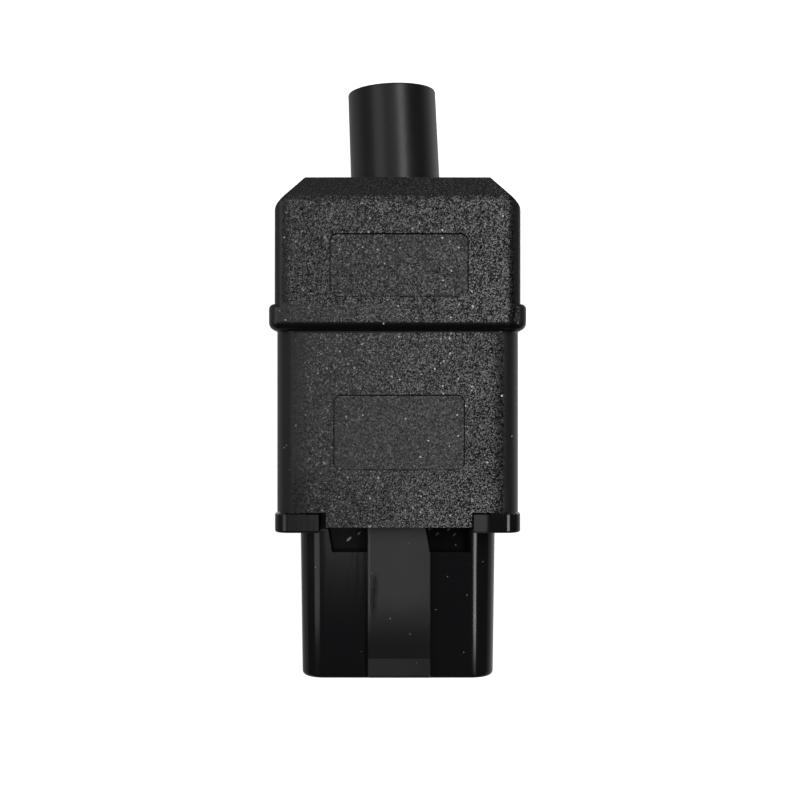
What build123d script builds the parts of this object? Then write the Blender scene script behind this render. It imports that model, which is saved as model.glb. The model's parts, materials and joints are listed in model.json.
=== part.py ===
from build123d import *
import os

# A rewireable female power connector, in millimetres. X runs across its width, Y along
# its axis from the mating face of the nose towards the cord, and Z through its thickness
# towards the face with the two bare label panels. The origin is the mating face's centre.

# Blades that the connector takes
blade_width = 8.0
blade_thickness = 2.0
blade_pitch = 13.0
blade_row_offset = 8.0
blade_clearance = 0.3
slot_lead_in = 0.4

# Nose, key and flange plate of the contact block
nose_width = 27.3
nose_height = 20.0
nose_length = 20.45
nose_corner_radius = 3.5
nose_draft = 0.28
nose_end_round = 0.6
nose_end_wall = 1.6
key_width = 8.6
key_height = 1.0
key_lead_length = 3.0
key_lead_drop = 0.25
key_setback = 0.25
key_end_round = 0.5
key_edge_round = 0.2
plate_thickness = 2.5
plate_gap = 0.25
plate_proud = 0.2
plate_corner_radius = 2.0
plate_edge_round = 0.3

# Sideways shift of what the front carries: key, pockets, tongue and label panels
front_shift = 0.2

# Snap pockets at the root of the nose, and the cover's lugs that catch in them
pocket_reach = 9.9
pocket_length = 3.7
pocket_depth = 2.5
pocket_slant = 0.65
pocket_bite = 0.75
catch_depth = 1.0
catch_height = 1.3
lug_width = 3.4
lug_thickness = 1.0
lug_clearance = 0.2

# Folded contacts
sheet_thickness = 0.8
contact_width = 8.6
contact_inner_height = 3.0
contact_pinch = 1.7
contact_pinch_place = 3.6
contact_spring_length = 9.0
contact_channel_length = 5.0
contact_bend_radius = 0.9
contact_slit_width = 0.8
contact_tail_width = 3.4
contact_tail_overrun = 0.5
cell_clearance = 0.2

# Screw cages on the contacts' tails
terminal_width = 5.6
terminal_length = 7.0
terminal_height = 6.4
terminal_side = 0.7
terminal_floor = 0.8
terminal_roof = 1.4
terminal_bend_radius = 0.5
terminal_clearance = 0.15
terminal_screw_diameter = 3.0
terminal_screw_length = 4.2
terminal_head_diameter = 4.4
terminal_head_height = 1.8
wire_space = 1.8

# Tail of the contact block
neck_step = 1.5
collar_thickness = 2.8
rib_thickness = 1.6
tail_wall = 1.3
tail_floor = 2.0
tail_lead = 1.0
tail_end = 2.4
tail_wall_rise = 1.5

# Covers
wall = 2.2
cover_gap = 1.05
head_room = 0.4
seat_clearance = 0.1
parting_gap = 0.1
lower_length = 24.65
lower_corner_radius = 3.0
inner_corner_radius = 0.6
ridge_length = 3.65
ridge_proud_side = 0.78
ridge_lower_round = 1.15
ridge_corner_margin = 0.25
ridge_upper_round = 0.7
upper_step_side = 0.08
upper_step_front = 1.1
upper_length = 14.3
upper_corner_radius = 1.3
cap_chamfer = 3.3
cap_side_chamfer = 3.95
cap_side_drop = 4.5
shoulder_round = 1.6
lip_thickness = 0.9
lip_height = 1.2
lip_clearance = 0.1

# Tongue of the front cover
tongue_width = 19.8
tongue_reach = 1.75
tongue_clearance = 0.25
tongue_gap = 1.0

# Label panels, as width, length and place along the connector
panel_depth = 0.25
panel_draft_angle = 35
panel_corner_radius = 1.1
lower_panel_width = 17.9
lower_panel_length = 10.3
lower_panel_rise = 10.9
upper_panel_width = 18.8
upper_panel_length = 8.6
upper_panel_rise = 0.9

# Cord, boot and cord clamp
cord_diameter = 9.0
cord_clearance = 0.2
boot_wall = 1.79
boot_taper = 0.15
boot_reach = 14.2
boot_end_round = 0.25
boot_hole_clearance = 0.7
boot_collar_overlap = 1.2
boot_collar_thickness = 2.2
boot_collar_clearance = 0.4
boot_lean = 2.4
boot_rib_thickness = 2.0
clamp_thickness = 2.4
clamp_length = 6.0
clamp_ear_length = 5.6
clamp_ear_thickness = 3.2
clamp_seat_drop = 1.0
clamp_seat_gap = 0.2
clamp_post_radius = 2.7
clamp_screw_length = 10.0
cradle_half_width = 6.2

# Cover and clamp screws
screw_diameter = 3.0
screw_fit = 0.05
screw_head_diameter = 5.5
screw_head_height = 2.0
screw_head_clearance = 0.3
cover_screw_length = 16.0
counterbore_depth = 3.0
boss_wall = 1.0
boss_into_wall = 0.3
boss_spacing = 0.5
pilot_spare = 0.6
screw_tip_chamfer = 0.5
screw_head_chamfer = 0.6
drive_width = 0.9
drive_depth = 1.0
drive_span = 0.6

# Lengths along the connector that follow from the sizes above
plate_end = nose_length + plate_thickness
cover_start = plate_end + plate_gap
collar_start = cover_start + wall + seat_clearance
collar_end = collar_start + collar_thickness
rib_start = collar_end + seat_clearance
rib_end = rib_start + rib_thickness
terminal_start = rib_end + seat_clearance + tail_lead
terminal_end = terminal_start + terminal_length
terminal_middle = (terminal_start + terminal_end) / 2
block_end = terminal_end + tail_end
ridge_start = cover_start + lower_length
ridge_end = ridge_start + ridge_length
cap_top = ridge_end + upper_length + cap_chamfer
boot_end = cap_top + boot_reach
tongue_end = plate_end - tongue_reach
pocket_middle = (key_width / 2 + pocket_reach) / 2
collar_room = boot_collar_thickness + 2 * boot_collar_clearance
boot_rib_end = cap_top - wall - collar_room
boot_rib_start = boot_rib_end - boot_rib_thickness

# Heights and widths of the contacts and terminals
row_height = blade_row_offset / 2
contact_half_height = contact_inner_height / 2 + sheet_thickness
tail_top = -contact_inner_height / 2
cage_bottom = -contact_half_height - terminal_floor
cage_top = cage_bottom + terminal_height
screw_tip = tail_top + wire_space
screw_seat = screw_tip + terminal_screw_length
pair_x = blade_pitch / 2
pair_tail_x = pair_x + contact_width / 2 - contact_tail_width / 2

# Outer widths and heights of the covers, around what they hold
tail_half_width = pair_tail_x + terminal_width / 2 + terminal_clearance + tail_wall
cavity_half_width = tail_half_width + cover_gap
cavity_half_height = row_height + screw_seat + terminal_head_height + head_room
lower_width = 2 * (cavity_half_width + wall)
lower_height = 2 * (cavity_half_height + wall)
upper_width = lower_width + 2 * upper_step_side
upper_height = lower_height + 2 * upper_step_front
ridge_width = upper_width + 2 * ridge_proud_side
ridge_corner_radius = ridge_lower_round + ridge_corner_margin
neck_width = 2 * (cavity_half_width - seat_clearance - neck_step)
neck_height = 2 * (cavity_half_height - seat_clearance - neck_step)

# Places of the cord's fittings and the screws
bore_radius = cord_diameter / 2 + cord_clearance
boot_radius = bore_radius + boot_wall
boot_hole_radius = boot_radius + boot_hole_clearance
collar_radius = boot_hole_radius + boot_collar_overlap
head_recess_radius = screw_head_diameter / 2 + screw_head_clearance
boss_radius = head_recess_radius + boss_wall
cover_screw_x = upper_width / 2 - wall - boss_radius + boss_into_wall
cover_screw_y = boot_rib_start - boss_wall
cover_screw_seat = -upper_height / 2 + counterbore_depth
arch_radius = bore_radius + clamp_thickness
clamp_screw_x = arch_radius + clamp_ear_length / 2
clamp_y = cover_screw_y - boss_radius - clamp_post_radius - boss_spacing
clamp_seat = clamp_ear_thickness - clamp_seat_drop

# Reach of cutting tools past the faces that they cut
overcut = 1.0
far = 2 * boot_end

# Each contact's place: middle of the clip, height of its row, middle of its tail
contact_places = {
    "live": (-pair_x, -row_height, -pair_tail_x),
    "neutral": (pair_x, -row_height, pair_tail_x),
    "earth": (0, row_height, 0),
}


def across(y):
    """Sketch plane square to the connector's axis, drawn in X and Z."""
    return Plane(origin=(0, y, 0), x_dir=(1, 0, 0), z_dir=(0, -1, 0))


def bar(sketch, y_start, y_end):
    """Extrude a sketch drawn in X and Z from y_start to y_end."""
    return extrude(across(y_start) * sketch, amount=y_start - y_end)


def block(x_span, y_span, z_span):
    """Box between three pairs of coordinates."""
    low = Vector(x_span[0], y_span[0], z_span[0])
    high = Vector(x_span[1], y_span[1], z_span[1])
    size = high - low
    return Pos((low + high) / 2) * Box(size.X, size.Y, size.Z)


def post(x, y, radius, z_start, z_end):
    """Round post or hole standing on Z."""
    height = z_end - z_start
    return Pos(x, y, z_start + height / 2) * Cylinder(radius, height)


def span(middle, width):
    """Pair of coordinates about a middle."""
    return (middle - width / 2, middle + width / 2)


def rounded(width, height, radius):
    """Rounded rectangle whose corners never vanish."""
    return RectangleRounded(width, height, max(radius, inner_corner_radius))


def housing_form(inset):
    """Form of the two covers together, drawn inwards by inset on every side."""
    lower = bar(
        rounded(lower_width - 2 * inset, lower_height - 2 * inset, lower_corner_radius - inset),
        cover_start + inset,
        ridge_end,
    )
    upper = bar(
        rounded(upper_width - 2 * inset, upper_height - 2 * inset, upper_corner_radius - inset),
        ridge_start + max(inset, ridge_lower_round),
        cap_top - inset,
    )
    side_outline = cap_outline(upper_width, cap_side_chamfer, cap_side_drop, inset)
    front_outline = Plane.ZY * cap_outline(upper_height, cap_chamfer, cap_chamfer, inset)
    for outline in (side_outline, front_outline):
        upper &= extrude(outline, amount=far, both=True)
    return lower + upper


def cap_outline(width, slope, drop, inset):
    """Outline of the upper housing seen square on, with its chamfered and rounded shoulders."""
    half = width / 2 - inset
    top = cap_top - inset
    outline = Polyline(
        (-half, cover_start),
        (half, cover_start),
        (half, top - drop),
        (half - slope, top),
        (slope - half, top),
        (-half, top - drop),
        close=True,
    )
    face = make_face(outline)
    return fillet(face.vertices().group_by(Axis.Y)[1], shoulder_round)


def grip_ridge():
    """Ridge round the middle, rounded more on the side towards the nose."""
    ridge = bar(
        RectangleRounded(ridge_width, upper_height, ridge_corner_radius), ridge_start, ridge_end
    )
    ridge = fillet(ridge.edges().group_by(Axis.Y)[0], ridge_lower_round)
    return fillet(ridge.edges().group_by(Axis.Y)[-1], ridge_upper_round)


def cover_openings():
    """Ways through both covers for the contact block's neck, the boot and the cord."""
    neck = bar(
        Rectangle(neck_width + 2 * seat_clearance, neck_height + 2 * seat_clearance),
        cover_start - wall,
        rib_end + seat_clearance,
    )
    boot_way = bar(Circle(boot_hole_radius), boot_rib_end, boot_end)
    collar_way = bar(Circle(collar_radius + boot_collar_clearance), boot_rib_end, cap_top - wall)
    cord_way = bar(Circle(bore_radius + cord_clearance), ridge_end, boot_end)
    return neck + boot_way + collar_way + cord_way


def cover_half(side):
    """Half of the shell with its inner ribs; side is 1 for the front and -1 for the rear."""
    cavity = housing_form(wall)
    shell = housing_form(0) + grip_ridge() - cavity
    for y_start, y_end in ((rib_start, rib_end), (boot_rib_start, boot_rib_end)):
        shell += cavity & block((-far, far), (y_start, y_end), (-far, far))
    parting = side * parting_gap / 2
    half_space = block((-far, far), (-far, far), sorted((parting, side * far)))
    return shell & half_space


def parting_ring(outer_inset, inner_inset, z_end):
    """Ring that follows the inside of the walls, from the parting plane up to z_end."""
    ring = housing_form(outer_inset) - housing_form(inner_inset)
    return ring & block((-far, far), (-far, far), (-parting_gap / 2, z_end))


def label_panel(width, length, y, z):
    """Shallow recess with sloping sides, sunk into the face at height z."""
    face = Plane(origin=(front_shift, y, z), x_dir=(1, 0, 0), z_dir=(0, 0, -1))
    outline = RectangleRounded(width, length, panel_corner_radius)
    return extrude(face * outline, amount=panel_depth, taper=panel_draft_angle)


def label_panels():
    """The two bare label panels on the front."""
    lower_y = cover_start + lower_panel_rise
    upper_y = ridge_end + upper_panel_rise + upper_panel_length / 2
    lower = label_panel(lower_panel_width, lower_panel_length, lower_y, lower_height / 2)
    upper = label_panel(upper_panel_width, upper_panel_length, upper_y, upper_height / 2)
    return lower + upper


def tongue():
    """Tongue over the root of the nose, with the two snap lugs below it."""
    tongue_x = span(front_shift, tongue_width)
    tongue_floor = nose_height / 2 + tongue_clearance
    form = block(tongue_x, (tongue_end, cover_start + wall), (tongue_floor, lower_height / 2))
    lug_back = tongue_end + lug_thickness
    lug_tip = nose_height / 2 - pocket_depth + lug_clearance
    catch_top = lug_tip + catch_height - 2 * lug_clearance
    catch_back = lug_back + catch_depth
    for side in (-1, 1):
        lug_x = span(front_shift + side * pocket_middle, lug_width)
        form += block(lug_x, (tongue_end, lug_back), (lug_tip, tongue_floor + lug_thickness))
        form += block(lug_x, (lug_back, catch_back), (lug_tip, catch_top))
    return form


def front_cover():
    """Front half shell with the label panels, the tongue and the screw bosses."""
    cover = cover_half(1) + tongue()
    roof = upper_height / 2 - wall / 2
    tip = cover_screw_seat + cover_screw_length
    for side in (-1, 1):
        x = side * cover_screw_x
        cover += post(x, cover_screw_y, boss_radius, parting_gap / 2, roof)
    rebate = parting_ring(
        wall - lip_thickness - lip_clearance, wall + lip_clearance, lip_height + lip_clearance
    )
    cover -= rebate
    for side in (-1, 1):
        x = side * cover_screw_x
        cover -= post(x, cover_screw_y, screw_diameter / 2 + screw_fit, -lip_height, tip + pilot_spare)
    return cover - label_panels() - cover_openings()


def rear_cover():
    """Rear half shell with the parting lip, screw towers, clamp posts and cord cradle."""
    cover = cover_half(-1)
    cover += parting_ring(wall - lip_thickness, wall, lip_height)
    floor = -upper_height / 2 + wall / 2
    post_top = -clamp_seat_drop - clamp_seat_gap
    for side in (-1, 1):
        cover += post(side * cover_screw_x, cover_screw_y, boss_radius, floor, -parting_gap / 2)
        cover += post(side * clamp_screw_x, clamp_y, clamp_post_radius, floor, post_top)
    cradle = block(span(0, 2 * cradle_half_width), span(clamp_y, clamp_length), (floor, post_top))
    cover += cradle - bar(Circle(bore_radius), ridge_start, cap_top)
    for side in (-1, 1):
        x = side * cover_screw_x
        way_radius = screw_diameter / 2 + screw_head_clearance
        cover -= post(x, cover_screw_y, way_radius, cover_screw_seat - pilot_spare, lip_height)
        cover -= post(x, cover_screw_y, head_recess_radius, -upper_height, cover_screw_seat)
        pilot_end = clamp_seat - clamp_screw_length - pilot_spare
        cover -= post(
            side * clamp_screw_x, clamp_y, screw_diameter / 2 + screw_fit, pilot_end, post_top + pilot_spare
        )
    return cover - cover_openings()


def nose_form():
    """Drafted nose with a rounded end, and the raised key on its front."""
    end_section = RectangleRounded(
        nose_width - 2 * nose_draft, nose_height - 2 * nose_draft, nose_corner_radius - nose_draft
    )
    root_section = RectangleRounded(nose_width, nose_height, nose_corner_radius)
    nose = loft([across(0) * end_section, across(nose_length) * root_section], ruled=True)
    nose = fillet(nose.edges().group_by(Axis.Y)[0], nose_end_round)
    top = nose_height / 2 + key_height
    root = nose_height / 2 - key_height
    outline = Polyline(
        (key_setback, root),
        (key_setback, top - key_lead_drop),
        (key_lead_length, top),
        (tongue_end - seat_clearance, top),
        (tongue_end - seat_clearance, root),
        close=True,
    )
    profile = make_face(outline)
    profile = fillet(profile.vertices().group_by(Axis.X)[0].sort_by(Axis.Y)[-1], key_end_round)
    key = extrude(Plane.YZ * profile, amount=key_width / 2, both=True)
    key = fillet(key.edges().filter_by(Axis.Y).group_by(Axis.Z)[-1], key_edge_round)
    return nose + Pos(front_shift, 0, 0) * key


def snap_pockets():
    """Two pockets beside the key, each with a slanting left side and an undercut for a lug."""
    pockets = Part()
    floor = nose_height / 2 - pocket_depth
    height = pocket_depth + key_height + overcut
    start = tongue_end - pocket_length
    end = tongue_end + lug_thickness + lug_clearance
    key_side = key_width / 2
    for left, right in ((-pocket_reach, -key_side), (key_side - pocket_bite, pocket_reach)):
        outline = Polyline(
            (left + pocket_slant, start),
            (right, start),
            (right, end),
            (left, end),
            (left, tongue_end),
            close=True,
        )
        pockets += Pos(0, 0, floor) * extrude(make_face(outline), amount=height)
    for side in (-1, 1):
        catch_x = span(side * pocket_middle, lug_width + 2 * lug_clearance)
        pockets += block(catch_x, (end, end + catch_depth), (floor, floor + catch_height))
    return Pos(front_shift, 0, 0) * pockets


def contact_cells():
    """Blade slots, contact cells and terminal pockets, cut out of the contact block."""
    cells = Part()
    slot_width = blade_width + 2 * blade_clearance
    slot_height = blade_thickness + 2 * blade_clearance
    for x, z, tail_x in contact_places.values():
        slot = Pos(x, z) * Rectangle(slot_width, slot_height)
        mouth = Pos(x, z) * Rectangle(slot_width + 2 * slot_lead_in, slot_height + 2 * slot_lead_in)
        cells += bar(slot, 0, nose_length)
        cells += loft([across(0) * mouth, across(slot_lead_in) * slot], ruled=True)
        cell = Rectangle(contact_width + 2 * cell_clearance, 2 * (contact_half_height + cell_clearance))
        cells += bar(Pos(x, z) * cell, nose_end_wall, block_end)
        cells += block(
            span(tail_x, terminal_width + 2 * terminal_clearance),
            (terminal_start - terminal_clearance, terminal_end + terminal_clearance),
            (z + cage_bottom - terminal_clearance, lower_height),
        )
    return cells


def contact_block():
    """Glossy moulding: nose, key, flange plate, neck, collar and terminal tray."""
    plate = bar(
        RectangleRounded(
            lower_width + 2 * plate_proud, lower_height + 2 * plate_proud, plate_corner_radius
        ),
        nose_length,
        plate_end,
    )
    plate = fillet(plate.edges().group_by(Axis.Y)[0], plate_edge_round)
    tongue_left, tongue_right = span(front_shift, tongue_width)
    notch_x = (tongue_left - tongue_gap, tongue_right + tongue_clearance)
    plate -= block(notch_x, (0, block_end), (nose_height / 2, lower_height))
    neck = bar(Rectangle(neck_width, neck_height), nose_length, rib_end + seat_clearance)
    collar = bar(
        rounded(neck_width + 2 * neck_step, neck_height + 2 * neck_step, lower_corner_radius - wall),
        collar_start,
        collar_end,
    )
    tray_floor = -row_height + cage_bottom - terminal_clearance - tail_floor
    tray = block(
        span(0, 2 * tail_half_width),
        (rib_end + seat_clearance, block_end),
        (tray_floor, row_height + tail_wall_rise),
    )
    return nose_form() + plate + neck + collar + tray - contact_cells() - snap_pockets()


def contact(x, z, tail_x):
    """Folded clip: two slit springs that pinch the blade, a channel and a flat tail."""
    start = nose_end_wall + cell_clearance
    channel_start = start + contact_spring_length
    channel_end = channel_start + contact_channel_length
    half = contact_inner_height / 2
    outer = RectangleRounded(contact_width, 2 * contact_half_height, contact_bend_radius)
    inner = RectangleRounded(
        contact_width - 2 * sheet_thickness,
        contact_inner_height,
        max(contact_bend_radius - sheet_thickness, sheet_thickness / 4),
    )
    open_side = Pos(contact_width / 2, 0) * Rectangle(2 * contact_bend_radius, 2 * contact_half_height)
    clip = bar(outer - inner - open_side, channel_start, channel_end)
    spring_profile = make_face(
        Polyline(
            (start, half),
            (start + contact_pinch_place, contact_pinch / 2),
            (channel_start, half),
            (channel_start, half + sheet_thickness),
            (start + contact_pinch_place, contact_pinch / 2 + sheet_thickness),
            (start, half + sheet_thickness),
            close=True,
        )
    )
    spring_width = contact_width - 2 * contact_bend_radius
    spring = extrude(Plane.YZ * spring_profile, amount=spring_width / 2, both=True)
    spring -= block(span(0, contact_slit_width), (0, channel_start - sheet_thickness), (-far, far))
    clip += spring + mirror(spring, about=Plane.XY)
    if tail_x < 0:
        clip = mirror(clip, about=Plane.YZ)
    tail = block(
        span(tail_x - x, contact_tail_width),
        (channel_start, terminal_end + contact_tail_overrun),
        (-contact_half_height, -half),
    )
    return Pos(x, 0, z) * (clip + tail)


def terminal(z, tail_x):
    """Brass cage round a contact's tail, with a threaded roof."""
    cage = bar(
        Pos(0, cage_bottom + terminal_height / 2)
        * RectangleRounded(terminal_width, terminal_height, terminal_bend_radius),
        terminal_start,
        terminal_end,
    )
    window_floor = cage_bottom + terminal_floor - seat_clearance / 2
    window = block(
        span(0, terminal_width - 2 * terminal_side),
        (terminal_start - overcut, terminal_end + overcut),
        (window_floor, cage_top - terminal_roof),
    )
    thread_radius = terminal_screw_diameter / 2 + screw_fit
    thread = post(0, terminal_middle, thread_radius, window_floor + terminal_floor, cage_top + overcut)
    return Pos(tail_x, 0, z) * (cage - window - thread)


def screw(diameter, length, head_diameter, head_height):
    """Pan-head screw with a cross recess, its head's seat at the origin and its tip below."""
    shank = post(0, 0, diameter / 2, -length, head_height / 2)
    shank = chamfer(shank.edges().group_by(Axis.Z)[0], screw_tip_chamfer)
    head = post(0, 0, head_diameter / 2, 0, head_height)
    head = chamfer(head.edges().group_by(Axis.Z)[-1], screw_head_chamfer)
    recess_z = (head_height - drive_depth, head_height)
    long_side = span(0, drive_span * head_diameter)
    short_side = span(0, drive_width)
    recess = block(long_side, short_side, recess_z) + block(short_side, long_side, recess_z)
    return shank + head - recess


def terminal_screws():
    """Three clamping screws, one over each contact's tail."""
    one = screw(
        terminal_screw_diameter, terminal_screw_length, terminal_head_diameter, terminal_head_height
    )
    places = [
        Pos(tail_x, terminal_middle, z + screw_seat) for x, z, tail_x in contact_places.values()
    ]
    return Compound([place * one for place in places])


def cord_clamp():
    """Saddle over the cord, with an ear for a screw at each end."""
    arch = Circle(arch_radius) & Pos(0, arch_radius) * Rectangle(2 * arch_radius, 2 * arch_radius)
    ear_length = 2 * (arch_radius + clamp_ear_length)
    ears = Pos(0, clamp_seat - clamp_ear_thickness / 2) * Rectangle(ear_length, clamp_ear_thickness)
    saddle = arch + ears - Circle(bore_radius)
    y_start, y_end = span(clamp_y, clamp_length)
    clamp = bar(saddle, y_start, y_end)
    for side in (-1, 1):
        way_radius = screw_diameter / 2 + screw_head_clearance
        clamp -= post(side * clamp_screw_x, clamp_y, way_radius, -clamp_ear_thickness, clamp_ear_thickness)
    return clamp


def clamp_screws():
    """Two screws that draw the clamp down on its posts."""
    one = screw(screw_diameter, clamp_screw_length, screw_head_diameter, screw_head_height)
    return Compound([Pos(side * clamp_screw_x, clamp_y, clamp_seat) * one for side in (-1, 1)])


def cover_screws():
    """Two long screws from the back that hold the covers together."""
    one = Rot(180, 0, 0) * screw(
        screw_diameter, cover_screw_length, screw_head_diameter, screw_head_height
    )
    return Compound(
        [Pos(side * cover_screw_x, cover_screw_y, cover_screw_seat) * one for side in (-1, 1)]
    )


def cable_boot():
    """Rubber sleeve for the cord with a collar inside the cap, leaning a little to one side."""
    inner_end = boot_rib_end + boot_collar_clearance
    collar_end_y = inner_end + boot_collar_thickness
    profile = Polyline(
        (bore_radius, inner_end),
        (collar_radius, inner_end),
        (collar_radius, collar_end_y),
        (boot_radius, collar_end_y),
        (boot_radius - boot_taper, boot_end),
        (bore_radius, boot_end),
        close=True,
    )
    boot = revolve(make_face(profile), axis=Axis.Y)
    end_edges = boot.edges().group_by(Axis.Y)[-1]
    boot = fillet(end_edges.sort_by(SortBy.RADIUS)[-1], boot_end_round)
    pivot = Pos(0, boot_rib_start, 0)
    return pivot * Rot(0, 0, boot_lean) * pivot.inverse() * boot


nodes = {
    "front_cover": front_cover(),
    "rear_cover": rear_cover(),
    "contact_block": contact_block(),
    "terminal_screws": terminal_screws(),
    "cord_clamp": cord_clamp(),
    "clamp_screws": clamp_screws(),
    "cover_screws": cover_screws(),
    "cable_boot": cable_boot(),
}
for pole, (clip_x, row_z, clip_tail_x) in contact_places.items():
    nodes[pole + "_contact"] = contact(clip_x, row_z, clip_tail_x)
    nodes[pole + "_terminal"] = terminal(row_z, clip_tail_x)

os.makedirs("parts", exist_ok=True)
for name, shape in nodes.items():
    export_step(shape, "parts/" + name + ".step")
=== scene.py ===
import json
import math
from types import SimpleNamespace
import bpy
from mathutils import Matrix, Vector


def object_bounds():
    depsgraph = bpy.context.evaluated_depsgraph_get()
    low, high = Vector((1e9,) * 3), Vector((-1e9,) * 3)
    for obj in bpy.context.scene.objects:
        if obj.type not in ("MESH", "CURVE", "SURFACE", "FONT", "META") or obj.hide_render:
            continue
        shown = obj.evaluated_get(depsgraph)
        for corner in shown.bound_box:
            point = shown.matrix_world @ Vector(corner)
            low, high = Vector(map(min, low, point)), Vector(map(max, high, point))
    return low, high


# A rewireable female power connector lying on its back, seen from straight above.
# Metres, in the part's own frame: X across, Y along towards the cord, Z out of the front.

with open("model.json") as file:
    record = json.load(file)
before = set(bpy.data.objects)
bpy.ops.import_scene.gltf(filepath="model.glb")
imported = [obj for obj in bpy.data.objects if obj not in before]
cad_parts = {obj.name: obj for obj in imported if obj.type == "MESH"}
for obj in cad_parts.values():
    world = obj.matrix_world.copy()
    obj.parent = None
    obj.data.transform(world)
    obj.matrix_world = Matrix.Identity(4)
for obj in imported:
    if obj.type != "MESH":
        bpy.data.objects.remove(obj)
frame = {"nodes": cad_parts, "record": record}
cad_low, cad_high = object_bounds()
MM = 0.001

# A pair of places or directions is where a region starts and where it is full, and four of them
# are its start, its full stretch and its end. A pair of strengths or colours is the one outside
# a region and the one inside it. Noise has a size and a detail, and dust a spacing, a radius as
# a share of the spacing and a density.

# Camera over the part, with the photograph's closeness
CAMERA_HEIGHT = 180 * MM
CAMERA_PLACE = Vector((0.325 * MM, 38.5 * MM, CAMERA_HEIGHT))
CAMERA_LENS = 55.46
CAMERA_SENSOR = 36.0
CAMERA_CLIP = 10 * MM

# Floor under the part
FLOOR_SIZE = 4.0
FLOOR_GLOW = 0.85
FLOOR_GLOW_COLOUR = (1, 1, 1, 1)
FLOOR_COLOURS = ((0.82, 0.82, 0.82, 1), (0.86, 0.86, 0.86, 1))
FLOOR_CLOUDS = (0.3, 2.0)
FLOOR_ROUGHNESS = 0.9
FLOOR_SPECULAR = 0.1

# Softboxes, as place, width across X, length along Y and radiance
AIM = Vector((0, 38 * MM, 10 * MM))
RIGHT_BOX = ((0.16, 0.155, 0.40), 0.09, 0.55, 6.1)
LEFT_BOX = ((-0.31, 0.155, 0.40), 0.24, 0.55, 1.25)
BACK_BOX = ((0.0, 0.75, 0.42), 0.9, 0.35, 0.1)

# Surroundings: a dim room, darker on the nose's side and lighter on the left, with a pale table
# below it
ROOM_DARK = (0.02, 0.02, 0.021, 1)
ROOM_LIGHT = (0.06, 0.06, 0.062, 1)
ROOM_ABOVE = (0.65, 0.65, 0.66, 1)
ROOM_STRIP = (1.9, 1.9, 1.93, 1)
ROOM_LEFT = (0.34, 0.34, 0.348, 1)
ROOM_FAR_LEFT = (0.17, 0.17, 0.174, 1)
TABLE_LIGHT = (0.42, 0.42, 0.428, 1)
TABLE_RIGHT = (0.9, 0.9, 0.91, 1)
TABLE_BACK = (0.2, 0.2, 0.204, 1)

# Directions of the surroundings, as parts of X, Y and Z
LIGHT_ROOM_Y = (-0.2, 0.9)
STRIP_X = (-0.025, -0.045)
LEFT_X = (-0.048, -0.064)
FAR_LEFT_X = (-0.2, -0.5)
LEFT_Y = (-0.22, -0.125)
LEFT_RISE = 2.0
ABOVE_Y = (0.13, 0.19, 0.35, 0.5)
ABOVE_X = (0.3, 0.1)
TABLE_Z = (0.02, -0.1)
TABLE_RIGHT_X = (0.3, 0.7)
TABLE_RIGHT_Z = (-0.2, -0.6)
TABLE_BACK_Y = (0.0, 0.9)

# Full middle of a speck as a share of its radius, and the middle of the facets' random turns
SPECK_CORE = 0.4
RANDOM_MIDDLE = (0.5, 0.5, 0.5)

# Places on the covers: the end near the nose, the ridge with the band of painted shade below it,
# and the cap
COVER_HALF_WIDTH = 16.7 * MM
NOSE_END = (31 * MM, 25 * MM)
RIDGE_START = 47.85 * MM
RIDGE_END = 51.5 * MM
RIDGE_SHADE = (47.45 * MM, 47.75 * MM, 48.85 * MM, 49.15 * MM)
CAP_START = 64.5 * MM

# Spans across X that keep the grain's tone between the side edges, where it fades out as painted
# shade of the rounded edges, and the smooth rims beside them
LOWER_GRAIN_SPAN = (-14.5 * MM, -11.4 * MM, 12.4 * MM, 14.8 * MM)
UPPER_GRAIN_SPAN = (-15.8 * MM, -14.0 * MM, 14.6 * MM, 15.5 * MM)
LEFT_RIM = (-15.2 * MM, -14.75 * MM, -14.1 * MM, -13.5 * MM)
LOWER_RIM = (12.6 * MM, 13.7 * MM, 14.2 * MM, 14.7 * MM)
UPPER_RIM = (14.8 * MM, 15.25 * MM, 15.8 * MM, 16.1 * MM)

# Label panels, as middle, width and length, with the grain left on patches of their walls
LOWER_PANEL = (0.2 * MM, 34.1 * MM, 17.9 * MM, 10.3 * MM)
UPPER_PANEL = (0.2 * MM, 56.7 * MM, 18.8 * MM, 8.6 * MM)
UPPER_PANEL_SHARE = 0.12
PANEL_EDGE = 0.1 * MM
PANEL_WALL = 0.4 * MM
NEAR_PANEL = 0.2
WALL_TURN = (0.2, 0.4)
WALL_PATCHES = (1.4 * MM, 1.0)
WALL_PATCH_RANGE = (0.38, 0.5)
WALL_GRAIN = 0.9

# Surface directions on the covers
FLAT_FACE = (0.94, 0.9995)
LEVEL_FACE = (0.9, 0.98)
SIDE_FACE = (0.6, 0.9)
SIDE_EDGE = (0.1, 0.4)
CAP_END_SLOPE = (0.1, 0.02)
CAP_SIDE_SLOPE = (0.5, 0.6)
CAP_FACING = (0.74, 0.9)
CAP_GRAIN = (0.3, 0.9)

# Grain of the covers: coarse waves under small facets
GRAIN = (0.5 * MM, 1.0)
GRAIN_RANGE = (0.3, 0.7)
GRAIN_DEPTH = 0.02 * MM
FACET_SIZE = 0.18 * MM
FACET_BODY = (0.65, 0.15)
FACET_TILT = 0.6
EDGE_TILT = (0.3, 1.0)
LEFT_TILT = (0.7, 1.0)

# Tone of the grain, with its contrast on the left and on the right below and above the ridge.
# The tone is partly the grain's own random tone and partly painted glints, and the higher
# contrast on the right is painted glint light
GRAIN_COLOUR = (0.5, 0.5, 0.512, 1)
TONE_POWER = 2.2
LEFT_CONTRAST = (0.2, 0.6)
RIGHT_CONTRAST = (1.4, 1.42)
NOSE_END_CONTRAST = (1.0, 1.32)
PANEL_CONTRAST = (0.65, 0.55)
MOTTLE = (5 * MM, 3.0)
MOTTLE_CONTRAST = (0.8, 1.2)
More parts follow.
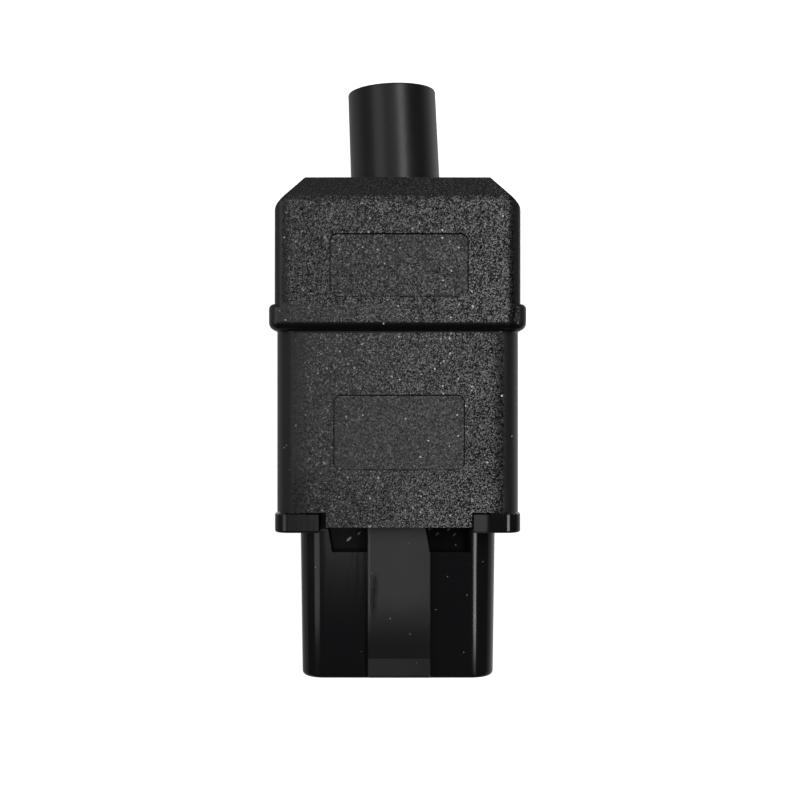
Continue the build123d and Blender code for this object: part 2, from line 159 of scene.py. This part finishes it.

# Ground colour of the covers between the grains, and on their rounded edges. The ground is
# lighter on the left and darker towards the right and the nose end, and its change from left to
# right is painted light. The edge colours are painted shade, darker except where an edge faces
# sideways
GROUND_LOWER = (0.036, 0.036, 0.0368, 1)
GROUND_UPPER = (0.007, 0.007, 0.0074, 1)
GROUND_RIGHT = (0.004, 0.004, 0.0044, 1)
GROUND_UPPER_PANEL = (0.019, 0.019, 0.0196, 1)
GROUND_PANEL = (0.04, 0.04, 0.0408, 1)
GROUND_NOSE_END = 0.6
EDGE_SHADE_COLOURS = ((0.0055, 0.0055, 0.006, 1), (0.015, 0.015, 0.0156, 1))

# Dust and sheen of the covers, with the sheen of the rims below and above the ridge
COVER_DUST = (1.4 * MM, 0.1, 0.25)
COVER_DUST_COLOUR = (0.6, 0.6, 0.59, 1)
SETTLED_DUST = (1.0 * MM, 0.17, 0.3)
SETTLED_SIDES = (0.3, 1.0)
SETTLED_COLOUR = (0.95, 0.95, 0.94, 1)
COVER_ROUGHNESS = (0.34, 0.2)
GRAIN_ROUGHNESS = 0.1
PANEL_ROUGHNESS = 0.1
COVER_SPECULAR = 0.4
RIM_SPECULAR = (0.2, 0.1)

# Satin key on the glossy nose, with its polished stretch, a painted highlight along its left
# edge, painted shade towards its right side and a rub mark
KEY_MIDDLE = 0.2 * MM
KEY_HALF_WIDTH = 4.35 * MM
KEY_FLOOR = 10.2 * MM
KEY_END = (3.1 * MM, 2.9 * MM)
KEY_END_SATIN = (1.0, 0.72)
KEY_POLISH = (12.5 * MM, 4.5 * MM)
KEY_SHADE = (0.0, 4.5 * MM)
KEY_SHADE_SATIN = (1.0, 0.8)
KEY_EDGE = (-3.72 * MM, -3.86 * MM)
KEY_EDGE_RUN = (4.5 * MM, 12.5 * MM)
KEY_HIGHLIGHT_COLOUR = (0.075, 0.075, 0.076, 1)
KEY_RUB = (-3.25 * MM, 11.3 * MM, 0.9 * MM, 6.4 * MM)
KEY_RUB_EDGE = 0.45 * MM
KEY_RUB_PATCHES = (0.4 * MM, 5.0, 0.7)
KEY_RUB_STRETCH = (1.0, 0.3, 1.0)
KEY_RUB_RANGE = (0.25, 0.7)
KEY_SHINE = 0.95
KEY_CLOUDS = (0.85, 1.15)
KEY_SOFTNESS = 0.6
KEY_DIMNESS = 0.7

# Dull recesses at the root of the nose, as half width, top and start
POCKET = (10.0 * MM, 9.6 * MM, 17.4 * MM)
NOTCH = (11.2 * MM, 10.4 * MM, 20.7 * MM)

# Slanting painted glints in the pockets, fainter on the right
GLINT_ROW = (18.2 * MM, 18.8 * MM, 20.3 * MM, 20.6 * MM)
GLINT_ANGLE = -0.75
GLINT_STRETCH = (0.35, 1.0, 1.0)
GLINT_SPECKS = (0.8 * MM, 0.24, 0.9)
GLINT_MIDDLE = (-2 * MM, 2 * MM)
GLINT_STRENGTH = (1.0, 0.45)
GLINT_COLOUR = (0.42, 0.42, 0.42, 1)

# Hazy inner half of the right ear
EAR_FLOOR = 12.5 * MM
EAR_HAZE = (12.5 * MM, 11.6 * MM)

# Gloss, drag marks and dust of the block
BLOCK_COLOURS = ((0.0086, 0.0086, 0.0097, 1), (0.035, 0.035, 0.0358, 1))
BLOCK_CLOUDS = (6 * MM, 3.0)
BLOCK_FINE = (0.25 * MM, 2.0)
DRAG_MARKS = (0.5 * MM, 2.0)
DRAG_STRETCH = (1.0, 0.06, 1.0)
DRAG_HEIGHT = 0.3
MARK_DEPTH = 0.012 * MM
GLOSS_ROUGHNESS = (0.06, 0.1)
DRAG_ROUGHNESS = 0.05
SATIN_ROUGHNESS = (0.44, 0.54)
FINE_ROUGHNESS = 0.1
BLOCK_SPECULAR = (0.4, 0.06)
BLOCK_SIDE = (0.3, 0.75)
BLOCK_SIDE_DIMNESS = 0.6
BLOCK_DUST = (1.3 * MM, 0.09, 0.4)
BLOCK_LINT = (1.1 * MM, 0.1, 0.12)
LINT_STRETCH = (1.0, 0.45, 1.0)
BLOCK_DUST_COLOUR = (0.3, 0.3, 0.31, 1)

# Rubber of the boot
BOOT_COLOURS = ((0.008, 0.008, 0.0088, 1), (0.012, 0.012, 0.0128, 1))
BOOT_BANDS = (2 * MM, 2.0)
BOOT_STRETCH = (1.0, 0.12, 1.0)
BOOT_FINE = (0.18 * MM, 2.0)
BOOT_DEPTH = 0.008 * MM
BOOT_ROUGHNESS = (0.26, 0.34)
BOOT_FINE_ROUGHNESS = 0.06
BOOT_SPECULAR = 0.4
BOOT_DUST = (2.6 * MM, 0.045, 0.3)
BOOT_DUST_COLOUR = (0.16, 0.16, 0.165, 1)

# Plastic of the cord clamp
CLAMP_COLOURS = ((0.02, 0.02, 0.021, 1), (0.035, 0.035, 0.036, 1))
CLAMP_GRAIN = (0.3 * MM, 3.0)
CLAMP_DEPTH = 0.03 * MM
CLAMP_ROUGHNESS = (0.45, 0.65)

# Brass of the contacts and screw cages, clean and tarnished
BRASS_COLOURS = ((0.78, 0.58, 0.28, 1), (0.46, 0.31, 0.14, 1))
BRASS_LINES = (0.12 * MM, 2.0)
BRASS_STRETCH = (1.0, 0.05, 1.0)
BRASS_DEPTH = 0.006 * MM
BRASS_ROUGHNESS = (0.22, 0.34)
TARNISH = (2.5 * MM, 4.0)
TARNISH_RANGE = (0.45, 0.75)
TARNISH_ROUGHNESS = 0.15

# Zinc plating of the screws
STEEL_COLOURS = ((0.5, 0.5, 0.51, 1), (0.68, 0.68, 0.68, 1))
STEEL_CLOUDS = (1.2 * MM, 4.0)
STEEL_FINE = (0.15 * MM, 2.0)
STEEL_DEPTH = 0.006 * MM
STEEL_ROUGHNESS = (0.28, 0.42)


def add_node(tree, kind, inputs=None, **settings):
    """A shader node. Each input takes a plain value or another node's output socket."""
    node = tree.nodes.new(kind)
    for name, value in settings.items():
        setattr(node, name, value)
    for key, value in (inputs or {}).items():
        if isinstance(value, bpy.types.NodeSocket):
            tree.links.new(value, node.inputs[key])
        else:
            node.inputs[key].default_value = value
    return node


def maths(tree, operation, *values):
    """The output of a Math node on numbers or sockets."""
    node = add_node(tree, "ShaderNodeMath", dict(enumerate(values)), operation=operation)
    return node.outputs[0]


def product(tree, first, *others):
    """All the numbers or sockets multiplied together."""
    for other in others:
        first = maths(tree, "MULTIPLY", first, other)
    return first


def total(tree, first, *others):
    """All the numbers or sockets added together."""
    for other in others:
        first = maths(tree, "ADD", first, other)
    return first


def largest(tree, first, *others):
    """The largest of the numbers or sockets."""
    for other in others:
        first = maths(tree, "MAXIMUM", first, other)
    return first


def over(tree, value, limit):
    """1 where the value is over the limit, 0 elsewhere."""
    return maths(tree, "GREATER_THAN", value, limit)


def under(tree, value, limit):
    """1 where the value is under the limit, 0 elsewhere."""
    return maths(tree, "LESS_THAN", value, limit)


def rest_of(tree, share):
    """What a share leaves of 1."""
    return maths(tree, "SUBTRACT", 1.0, share)


def distance_from(tree, value, middle):
    """How far a value is from the middle, to either side."""
    return maths(tree, "ABSOLUTE", maths(tree, "SUBTRACT", value, middle))


def vector_maths(tree, operation, *values):
    """The output of a Vector Math node on vectors or sockets."""
    node = add_node(tree, "ShaderNodeVectorMath", dict(enumerate(values)), operation=operation)
    return node.outputs[0]


def stretched(tree, place, scales):
    """The place scaled along each axis, for marks that run one way."""
    return vector_maths(tree, "MULTIPLY", place, scales)


def fade(tree, value, start, end):
    """A smooth step from 0 at start to 1 at end."""
    inputs = {"Value": value, "From Min": start, "From Max": end}
    node = add_node(tree, "ShaderNodeMapRange", inputs, interpolation_type="SMOOTHSTEP")
    return node.outputs["Result"]


def between(tree, value, start, full, full_end, end):
    """1 between full and full_end, fading to 0 at start and at end."""
    return product(tree, fade(tree, value, start, full), fade(tree, value, end, full_end))


def spread(tree, value, low, high):
    """A 0 to 1 value stretched over low to high."""
    inputs = {"Value": value, "To Min": low, "To Max": high}
    return add_node(tree, "ShaderNodeMapRange", inputs).outputs["Result"]


def blend(tree, factor, first, second):
    """A blend of two numbers."""
    return add_node(tree, "ShaderNodeMix", {0: factor, 2: first, 3: second}).outputs[0]


def mix_colour(tree, factor, first, second):
    """A blend of two colours."""
    inputs = {0: factor, 6: first, 7: second}
    return add_node(tree, "ShaderNodeMix", inputs, data_type="RGBA").outputs[2]


def noise(tree, place, size, detail, roughness=0.5):
    """Cloudy noise with features of the given size."""
    inputs = {"Vector": place, "Scale": 1 / size, "Detail": detail, "Roughness": roughness}
    return add_node(tree, "ShaderNodeTexNoise", inputs).outputs["Fac"]


def specks(tree, place, spacing, radius, density):
    """Scattered small dots of uneven size, kept in a share of the cells: dust, and the painted
    glints in the pockets.
    """
    cell = add_node(tree, "ShaderNodeTexVoronoi", {"Vector": place, "Scale": 1 / spacing})
    dot = fade(tree, cell.outputs["Distance"], radius, radius * SPECK_CORE)
    pick = add_node(tree, "ShaderNodeSeparateColor", {"Color": cell.outputs["Color"]})
    return product(tree, dot, under(tree, pick.outputs["Red"], density))


def bump(tree, height, distance):
    """A surface normal from a height of 0 to 1 over the given distance."""
    inputs = {"Height": height, "Distance": distance, "Strength": 1.0}
    return add_node(tree, "ShaderNodeBump", inputs).outputs["Normal"]


def facets(tree, place, tilt, normal):
    """The normal tilted at random from one grain to the next, a tone per grain, and its body."""
    cell = add_node(tree, "ShaderNodeTexVoronoi", {"Vector": place, "Scale": 1 / FACET_SIZE})
    turn = vector_maths(tree, "SUBTRACT", cell.outputs["Color"], RANDOM_MIDDLE)
    turn = vector_maths(tree, "MULTIPLY", turn, tilt)
    tilted = vector_maths(tree, "NORMALIZE", vector_maths(tree, "ADD", normal, turn))
    tone = add_node(tree, "ShaderNodeSeparateColor", {"Color": cell.outputs["Color"]})
    return tilted, tone.outputs["Blue"], fade(tree, cell.outputs["Distance"], *FACET_BODY)


def object_place(tree):
    """The surface point in the part's own frame, with its three coordinates."""
    place = add_node(tree, "ShaderNodeTexCoord").outputs["Object"]
    axes = add_node(tree, "ShaderNodeSeparateXYZ", {"Vector": place})
    return place, axes.outputs["X"], axes.outputs["Y"], axes.outputs["Z"]


def surface_direction(tree):
    """The three parts of the unbumped surface normal."""
    normal = add_node(tree, "ShaderNodeNewGeometry").outputs["Normal"]
    axes = add_node(tree, "ShaderNodeSeparateXYZ", {"Vector": normal})
    return axes.outputs["X"], axes.outputs["Y"], axes.outputs["Z"]


def flat_share(tree, direction):
    """1 on flat faces square to the axes, fading to 0 round the moulded edges."""
    sizes = [maths(tree, "ABSOLUTE", part) for part in direction]
    return fade(tree, largest(tree, *sizes), *FLAT_FACE)


def inside_panel(tree, x, y, panel, edge):
    """1 inside a rectangle given as its middle, width and length, fading over its edge."""
    centre_x, centre_y, width, length = panel
    across = distance_from(tree, x, centre_x)
    along = distance_from(tree, y, centre_y)
    in_width = fade(tree, across, width / 2 + edge, width / 2 - edge)
    in_length = fade(tree, along, length / 2 + edge, length / 2 - edge)
    return product(tree, in_width, in_length)


def new_material(name):
    """An empty node material with its shader joined to the output."""
    material = bpy.data.materials.new(name)
    material.use_nodes = True
    tree = material.node_tree
    tree.nodes.clear()
    shader = add_node(tree, "ShaderNodeBsdfPrincipled")
    add_node(tree, "ShaderNodeOutputMaterial", {"Surface": shader.outputs["BSDF"]})
    return material, tree, shader


def feed(tree, shader, **sockets):
    """Joins sockets to the shader's inputs by their names, with _ for a space."""
    for name, socket in sockets.items():
        tree.links.new(socket, shader.inputs[name.replace("_", " ")])


def panel_walls(tree, place, x, y, front, direction):
    """1 on the patches of the label panels' walls that keep their grain."""
    near = largest(tree, inside_panel(tree, x, y, LOWER_PANEL, PANEL_WALL),
                   inside_panel(tree, x, y, UPPER_PANEL, PANEL_WALL))
    near = product(tree, over(tree, near, NEAR_PANEL), front)
    wall = largest(tree, fade(tree, direction[0], *WALL_TURN),
                   fade(tree, direction[1], *WALL_TURN))
    patches = fade(tree, noise(tree, place, *WALL_PATCHES), *WALL_PATCH_RANGE)
    return product(tree, wall, near, patches)


def cover_rim(tree, x, from_ridge):
    """1 on the smooth rims beside the grain spans."""
    lower = largest(tree, between(tree, x, *LOWER_RIM), between(tree, x, *LEFT_RIM))
    return blend(tree, from_ridge, lower, between(tree, x, *UPPER_RIM))


def cover_zones(tree, place, x, y, z):
    """The regions of the covers, each as a share of 0 to 1."""
    direction = surface_direction(tree)
    lean = maths(tree, "ABSOLUTE", direction[0])
    front = over(tree, z, 0.0)
    zones = SimpleNamespace()
    zones.right = over(tree, x, 0.0)
    zones.sides = fade(tree, x, -COVER_HALF_WIDTH, COVER_HALF_WIDTH)
    zones.near_nose = fade(tree, y, *NOSE_END)
    zones.from_ridge = over(tree, y, RIDGE_START)
    zones.past_ridge = over(tree, y, RIDGE_END)
    zones.level = fade(tree, direction[2], *LEVEL_FACE)
    zones.side_edge = fade(tree, lean, *SIDE_EDGE)
    zones.rim = cover_rim(tree, x, zones.from_ridge)

    lower_panel = inside_panel(tree, x, y, LOWER_PANEL, PANEL_EDGE)
    upper_panel = inside_panel(tree, x, y, UPPER_PANEL, PANEL_EDGE)
    panels = total(tree, lower_panel, product(tree, upper_panel, UPPER_PANEL_SHARE))
    zones.panels = product(tree, panels, front)
    zones.upper_panel = product(tree, upper_panel, front)

    flat = flat_share(tree, direction)
    slope = largest(tree, fade(tree, lean, *CAP_END_SLOPE), fade(tree, lean, *CAP_SIDE_SLOPE))
    slope = product(tree, slope, over(tree, y, CAP_START))
    # Painted shade in a band under the ridge: the grain is taken out there, so the band takes
    # the dark painted edge shade
    shade = between(tree, y, *RIDGE_SHADE)
    zones.crisp = largest(tree, flat, slope, shade)
    facing = fade(tree, direction[2], *CAP_FACING)
    flat = largest(tree, flat, product(tree, slope, spread(tree, facing, *CAP_GRAIN)))
    flat = product(tree, flat, rest_of(tree, shade))
    walls = panel_walls(tree, place, x, y, front, direction)
    zones.grained = largest(tree, flat, product(tree, walls, WALL_GRAIN))

    # The grain's tone and facets fade out towards the side edges; the lost tone is painted shade
    # of the rounded edges
    unrubbed = blend(tree, zones.from_ridge, between(tree, x, *LOWER_GRAIN_SPAN),
                     between(tree, x, *UPPER_GRAIN_SPAN))
    zones.unrubbed = largest(tree, unrubbed, fade(tree, lean, *SIDE_FACE))
    return zones


def cover_relief(tree, place, zones):
    """The normal over the grain, with the tone and the body of each small facet."""
    coarse = fade(tree, noise(tree, place, *GRAIN), *GRAIN_RANGE)
    normal = bump(tree, product(tree, coarse, zones.grained), GRAIN_DEPTH)
    sharp = largest(tree, zones.unrubbed, zones.right)
    bright = largest(tree, zones.sides, zones.past_ridge)
    tilt = product(tree, zones.grained, spread(tree, sharp, *EDGE_TILT), FACET_TILT,
                   spread(tree, bright, *LEFT_TILT))
    return facets(tree, place, tilt, normal)


def grain_contrast(tree, place, zones):
    """How far the grain stands out, stronger near the nose and on the right, where the extra
    strength is painted glint light.
    """
    left = blend(tree, zones.past_ridge, *LEFT_CONTRAST)
    right = blend(tree, zones.past_ridge, *RIGHT_CONTRAST)
    mottle = noise(tree, place, *MOTTLE)
    return product(tree, spread(tree, zones.sides, left, right),
                   spread(tree, zones.near_nose, *NOSE_END_CONTRAST),
                   spread(tree, mottle, *MOTTLE_CONTRAST),
                   spread(tree, zones.panels, *PANEL_CONTRAST))


def cover_ground(tree, zones):
    """The colour between the grains, lighter on the left as painted light and lighter in the
    panels, with painted shade on the smooth edges.
    """
    ground = mix_colour(tree, zones.past_ridge, GROUND_LOWER, GROUND_UPPER)
    dark = largest(tree, zones.sides, product(tree, zones.near_nose, GROUND_NOSE_END))
    ground = mix_colour(tree, dark, ground, GROUND_RIGHT)
    ground = mix_colour(tree, zones.upper_panel, ground, GROUND_UPPER_PANEL)
    ground = mix_colour(tree, zones.panels, ground, GROUND_PANEL)
    # Painted shade on the smooth edges, the bare panel walls and the band under the ridge
    edge = mix_colour(tree, zones.side_edge, *EDGE_SHADE_COLOURS)
    return mix_colour(tree, zones.grained, edge, ground)


def cover_plastic():
    """Black moulding with a coarse spark-eroded grain, smooth on its rounded edges, with painted
    glints in the grain and painted shade on the edges and under the ridge.
    """
    material, tree, shader = new_material("cover_plastic_grain")
    place, x, y, z = object_place(tree)
    zones = cover_zones(tree, place, x, y, z)
    normal, random_tone, body = cover_relief(tree, place, zones)

    # The grain's tone, partly painted glints: stronger on the right, and fading out towards the
    # side edges as painted shade
    tone = product(tree, maths(tree, "POWER", random_tone, TONE_POWER),
                   grain_contrast(tree, place, zones), body, zones.grained, zones.unrubbed)
    colour = mix_colour(tree, tone, cover_ground(tree, zones), GRAIN_COLOUR)
    dust = specks(tree, place, *COVER_DUST)
    colour = mix_colour(tree, dust, colour, COVER_DUST_COLOUR)
    settled = product(tree, specks(tree, place, *SETTLED_DUST), zones.level,
                      spread(tree, zones.sides, *SETTLED_SIDES))
    colour = mix_colour(tree, settled, colour, SETTLED_COLOUR)

    rough = total(tree, spread(tree, zones.crisp, *COVER_ROUGHNESS),
                  product(tree, random_tone, GRAIN_ROUGHNESS),
                  product(tree, zones.panels, PANEL_ROUGHNESS))
    rim_specular = blend(tree, zones.from_ridge, *RIM_SPECULAR)
    specular = spread(tree, zones.rim, COVER_SPECULAR, rim_specular)
    feed(tree, shader, Base_Color=colour, Roughness=rough, Specular_IOR_Level=specular,
         Normal=normal)
    return material


def recess(tree, across, y, z, half_width, top, start):
    """1 in a recess at the root of the nose."""
    return product(tree, under(tree, across, half_width), under(tree, z, top),
                   over(tree, y, start))


def key_wear_and_shade(tree, place, x, y, clouds):
    """The polished share of the key, and the satin share that is left, darker towards the key's
    right side as painted shade.
    """
    key_end = fade(tree, y, *KEY_END)
    polish = maths(tree, "SUBTRACT", fade(tree, y, *KEY_POLISH), key_end)
    streaks = noise(tree, stretched(tree, place, KEY_RUB_STRETCH), *KEY_RUB_PATCHES)
    rub = product(tree, inside_panel(tree, x, y, KEY_RUB, KEY_RUB_EDGE),
                  fade(tree, streaks, *KEY_RUB_RANGE))
    shine = largest(tree, polish, 0.0, rub)
    # The satin share, darker towards the right side as painted shade
    satin = product(tree, rest_of(tree, product(tree, shine, KEY_SHINE)),
                    spread(tree, clouds, *KEY_CLOUDS),
                    spread(tree, key_end, *KEY_END_SATIN),
                    spread(tree, fade(tree, x, *KEY_SHADE), *KEY_SHADE_SATIN))
    return shine, satin


def ear_haze(tree, x, z):
    """1 on the hazy half of the right ear."""
    return product(tree, over(tree, z, EAR_FLOOR), fade(tree, x, *EAR_HAZE), over(tree, x, 0.0))


def pocket_glints(tree, place, x, y, in_pocket):
    """Slanting painted glints in a row along the pockets."""
    turn = {"Vector": place, "Angle": GLINT_ANGLE}
    slanting = add_node(tree, "ShaderNodeVectorRotate", turn, rotation_type="Z_AXIS").outputs[0]
    glints = specks(tree, stretched(tree, slanting, GLINT_STRETCH), *GLINT_SPECKS)
    strength = spread(tree, fade(tree, x, *GLINT_MIDDLE), *GLINT_STRENGTH)
    return product(tree, glints, in_pocket, between(tree, y, *GLINT_ROW), strength)


def block_plastic():
    """Polished black moulding with a satin key, faint drag marks, dust, painted glints in the
    pockets and painted light and shade on the key.
    """
    material, tree, shader = new_material("block_plastic_gloss")
    place, x, y, z = object_place(tree)
    across = distance_from(tree, x, KEY_MIDDLE)
    on_key = product(tree, under(tree, across, KEY_HALF_WIDTH), over(tree, z, KEY_FLOOR))
    in_pocket = recess(tree, across, y, z, *POCKET)
    in_notch = recess(tree, across, y, z, *NOTCH)

    clouds = noise(tree, place, *BLOCK_CLOUDS)
    drag = noise(tree, stretched(tree, place, DRAG_STRETCH), *DRAG_MARKS)
    fine = noise(tree, place, *BLOCK_FINE)
    shine, satin = key_wear_and_shade(tree, place, x, y, clouds)
    dull = largest(tree, product(tree, on_key, satin), ear_haze(tree, x, z))

    colour = mix_colour(tree, dull, *BLOCK_COLOURS)
    # A painted highlight along the key's left edge
    edge = product(tree, fade(tree, x, *KEY_EDGE), on_key, fade(tree, y, *KEY_EDGE_RUN))
    colour = mix_colour(tree, edge, colour, KEY_HIGHLIGHT_COLOUR)
    dust = largest(tree, specks(tree, place, *BLOCK_DUST),
                   specks(tree, stretched(tree, place, LINT_STRETCH), *BLOCK_LINT))
    colour = mix_colour(tree, dust, colour, BLOCK_DUST_COLOUR)
    # Painted glints in the pockets
    glints = pocket_glints(tree, place, x, y, in_pocket)
    colour = mix_colour(tree, glints, colour, GLINT_COLOUR)

    gloss = total(tree, spread(tree, clouds, *GLOSS_ROUGHNESS),
                  product(tree, drag, DRAG_ROUGHNESS))
    matt = total(tree, spread(tree, clouds, *SATIN_ROUGHNESS),
                 product(tree, fine, FINE_ROUGHNESS))
    soft = largest(tree, dull, product(tree, on_key, KEY_SOFTNESS))
    rough = blend(tree, soft, gloss, matt)

    lean = maths(tree, "ABSOLUTE", surface_direction(tree)[0])
    side = product(tree, fade(tree, lean, *BLOCK_SIDE), BLOCK_SIDE_DIMNESS)
    worn = product(tree, shine, on_key, KEY_DIMNESS)
    dim = largest(tree, in_pocket, in_notch, worn, side)
    specular = spread(tree, dim, *BLOCK_SPECULAR)
    marks = total(tree, product(tree, drag, DRAG_HEIGHT), product(tree, fine, dull))
    feed(tree, shader, Base_Color=colour, Roughness=rough, Specular_IOR_Level=specular,
         Normal=bump(tree, marks, MARK_DEPTH))
    return material


def boot_rubber():
    """Smooth satin rubber with faint flow bands and a little dust."""
    material, tree, shader = new_material("boot_rubber_satin")
    place = object_place(tree)[0]
    bands = noise(tree, stretched(tree, place, BOOT_STRETCH), *BOOT_BANDS)
    fine = noise(tree, place, *BOOT_FINE)
    dust = specks(tree, place, *BOOT_DUST)
    colour = mix_colour(tree, bands, *BOOT_COLOURS)
    colour = mix_colour(tree, dust, colour, BOOT_DUST_COLOUR)
    rough = total(tree, spread(tree, bands, *BOOT_ROUGHNESS),
                  product(tree, fine, BOOT_FINE_ROUGHNESS))
    shader.inputs["Specular IOR Level"].default_value = BOOT_SPECULAR
    feed(tree, shader, Base_Color=colour, Roughness=rough, Normal=bump(tree, fine, BOOT_DEPTH))
    return material


def clamp_plastic():
    """Plain black moulding with a light grain."""
    material, tree, shader = new_material("clamp_plastic_matte")
    place = object_place(tree)[0]
    grain = noise(tree, place, *CLAMP_GRAIN)
    colour = mix_colour(tree, grain, *CLAMP_COLOURS)
    feed(tree, shader, Base_Color=colour, Roughness=spread(tree, grain, *CLAMP_ROUGHNESS),
         Normal=bump(tree, grain, CLAMP_DEPTH))
    return material


def contact_brass():
    """Pressed brass strip with drawing lines and a light tarnish."""
    material, tree, shader = new_material("contact_brass_strip")
    place = object_place(tree)[0]
    lines = noise(tree, stretched(tree, place, BRASS_STRETCH), *BRASS_LINES)
    tarnish = fade(tree, noise(tree, place, *TARNISH), *TARNISH_RANGE)
    colour = mix_colour(tree, tarnish, *BRASS_COLOURS)
    rough = total(tree, spread(tree, lines, *BRASS_ROUGHNESS),
                  product(tree, tarnish, TARNISH_ROUGHNESS))
    shader.inputs["Metallic"].default_value = 1.0
    feed(tree, shader, Base_Color=colour, Roughness=rough, Normal=bump(tree, lines, BRASS_DEPTH))
    return material


def screw_steel():
    """Zinc-plated steel with a dull, slightly uneven sheen."""
    material, tree, shader = new_material("screw_steel_zinc")
    place = object_place(tree)[0]
    clouds = noise(tree, place, *STEEL_CLOUDS)
    fine = noise(tree, place, *STEEL_FINE)
    colour = mix_colour(tree, clouds, *STEEL_COLOURS)
    shader.inputs["Metallic"].default_value = 1.0
    feed(tree, shader, Base_Color=colour, Roughness=spread(tree, clouds, *STEEL_ROUGHNESS),
         Normal=bump(tree, fine, STEEL_DEPTH))
    return material


def dress_nodes():
    """Gives each CAD node the finish that its material slot names."""
    finishes = {
        "cover_plastic": cover_plastic(),
        "block_plastic": block_plastic(),
        "boot_rubber": boot_rubber(),
        "clamp_plastic": clamp_plastic(),
        "contact_brass": contact_brass(),
        "screw_steel": screw_steel(),
    }
    for subpart in frame["record"]["subparts"]:
        part = frame["nodes"][subpart["node"]]
        part.material_slots[0].material = finishes[subpart["material_slot"]]


def make_floor():
    """A wide pale floor that the part lies on."""
    material, tree, shader = new_material("floor_pale")
    clouds = noise(tree, object_place(tree)[0], *FLOOR_CLOUDS)
    feed(tree, shader, Base_Color=mix_colour(tree, clouds, *FLOOR_COLOURS))
    shader.inputs["Roughness"].default_value = FLOOR_ROUGHNESS
    shader.inputs["Specular IOR Level"].default_value = FLOOR_SPECULAR
    shader.inputs["Emission Color"].default_value = FLOOR_GLOW_COLOUR
    shader.inputs["Emission Strength"].default_value = FLOOR_GLOW
    half = FLOOR_SIZE / 2
    corners = [(-half, -half, 0), (half, -half, 0), (half, half, 0), (-half, half, 0)]
    mesh = bpy.data.meshes.new("floor")
    mesh.from_pydata(corners, [], [(0, 1, 2, 3)])
    mesh.materials.append(material)
    floor = bpy.data.objects.new("floor", mesh)
    floor.location = (0, 0, cad_low.z)
    floor.visible_glossy = False
    bpy.context.scene.collection.objects.link(floor)


def softbox(name, place, width, length, radiance):
    """A rectangular light turned towards the part, its length along Y."""
    light = bpy.data.lights.new(name, "AREA")
    light.shape = "RECTANGLE"
    light.size = width
    light.size_y = length
    light.energy = radiance * math.pi * width * length
    back = (Vector(place) - AIM).normalized()
    side = Vector((0, 1, 0)).cross(back).normalized()
    turn = Matrix((side, back.cross(side), back)).transposed()
    lamp = bpy.data.objects.new(name, light)
    lamp.matrix_world = Matrix.Translation(place) @ turn.to_4x4()
    lamp.visible_camera = False
    bpy.context.scene.collection.objects.link(lamp)


def room_colour(tree, x, y):
    """The dim room, with a bright strip, a grey left side and a glow past the cord end."""
    left = mix_colour(tree, fade(tree, x, *LEFT_X), ROOM_STRIP, ROOM_LEFT)
    left = mix_colour(tree, fade(tree, x, *FAR_LEFT_X), left, ROOM_FAR_LEFT)
    rise = maths(tree, "POWER", fade(tree, y, *LEFT_Y), LEFT_RISE)
    colour = mix_colour(tree, fade(tree, y, *LIGHT_ROOM_Y), ROOM_DARK, ROOM_LIGHT)
    colour = mix_colour(tree, product(tree, fade(tree, x, *STRIP_X), rise), colour, left)
    middle = fade(tree, maths(tree, "ABSOLUTE", x), *ABOVE_X)
    above = product(tree, between(tree, y, *ABOVE_Y), middle)
    return mix_colour(tree, above, colour, ROOM_ABOVE)


def table_colour(tree, x, y, z):
    """The pale table below, lighter on the right and darker past the cord end."""
    right = product(tree, fade(tree, x, *TABLE_RIGHT_X), fade(tree, z, *TABLE_RIGHT_Z))
    table = mix_colour(tree, right, TABLE_LIGHT, TABLE_RIGHT)
    return mix_colour(tree, fade(tree, y, *TABLE_BACK_Y), table, TABLE_BACK)


def light_studio():
    """Two long softboxes beside the camera, a dim one past the cord end, and a dim room."""
    softbox("right_softbox", *RIGHT_BOX)
    softbox("left_softbox", *LEFT_BOX)
    softbox("back_softbox", *BACK_BOX)
    world = bpy.data.worlds.new("studio")
    bpy.context.scene.world = world
    world.use_nodes = True
    tree = world.node_tree
    tree.nodes.clear()
    direction = add_node(tree, "ShaderNodeTexCoord").outputs["Generated"]
    axes = add_node(tree, "ShaderNodeSeparateXYZ", {"Vector": direction})
    x, y, z = axes.outputs["X"], axes.outputs["Y"], axes.outputs["Z"]
    colour = mix_colour(tree, fade(tree, z, *TABLE_Z), room_colour(tree, x, y),
                        table_colour(tree, x, y, z))
    room = add_node(tree, "ShaderNodeBackground", {"Color": colour, "Strength": 1.0})
    add_node(tree, "ShaderNodeOutputWorld", {"Surface": room.outputs["Background"]})


def place_camera():
    """A camera straight above the part, cord end up."""
    camera = bpy.data.cameras.new("camera")
    camera.sensor_width = CAMERA_SENSOR
    camera.lens = CAMERA_LENS
    camera.clip_start = CAMERA_CLIP
    viewer = bpy.data.objects.new("camera", camera)
    viewer.location = CAMERA_PLACE
    bpy.context.scene.collection.objects.link(viewer)
    bpy.context.scene.camera = viewer
    bpy.context.scene.view_settings.view_transform = "Standard"


dress_nodes()
make_floor()
light_studio()
place_camera()
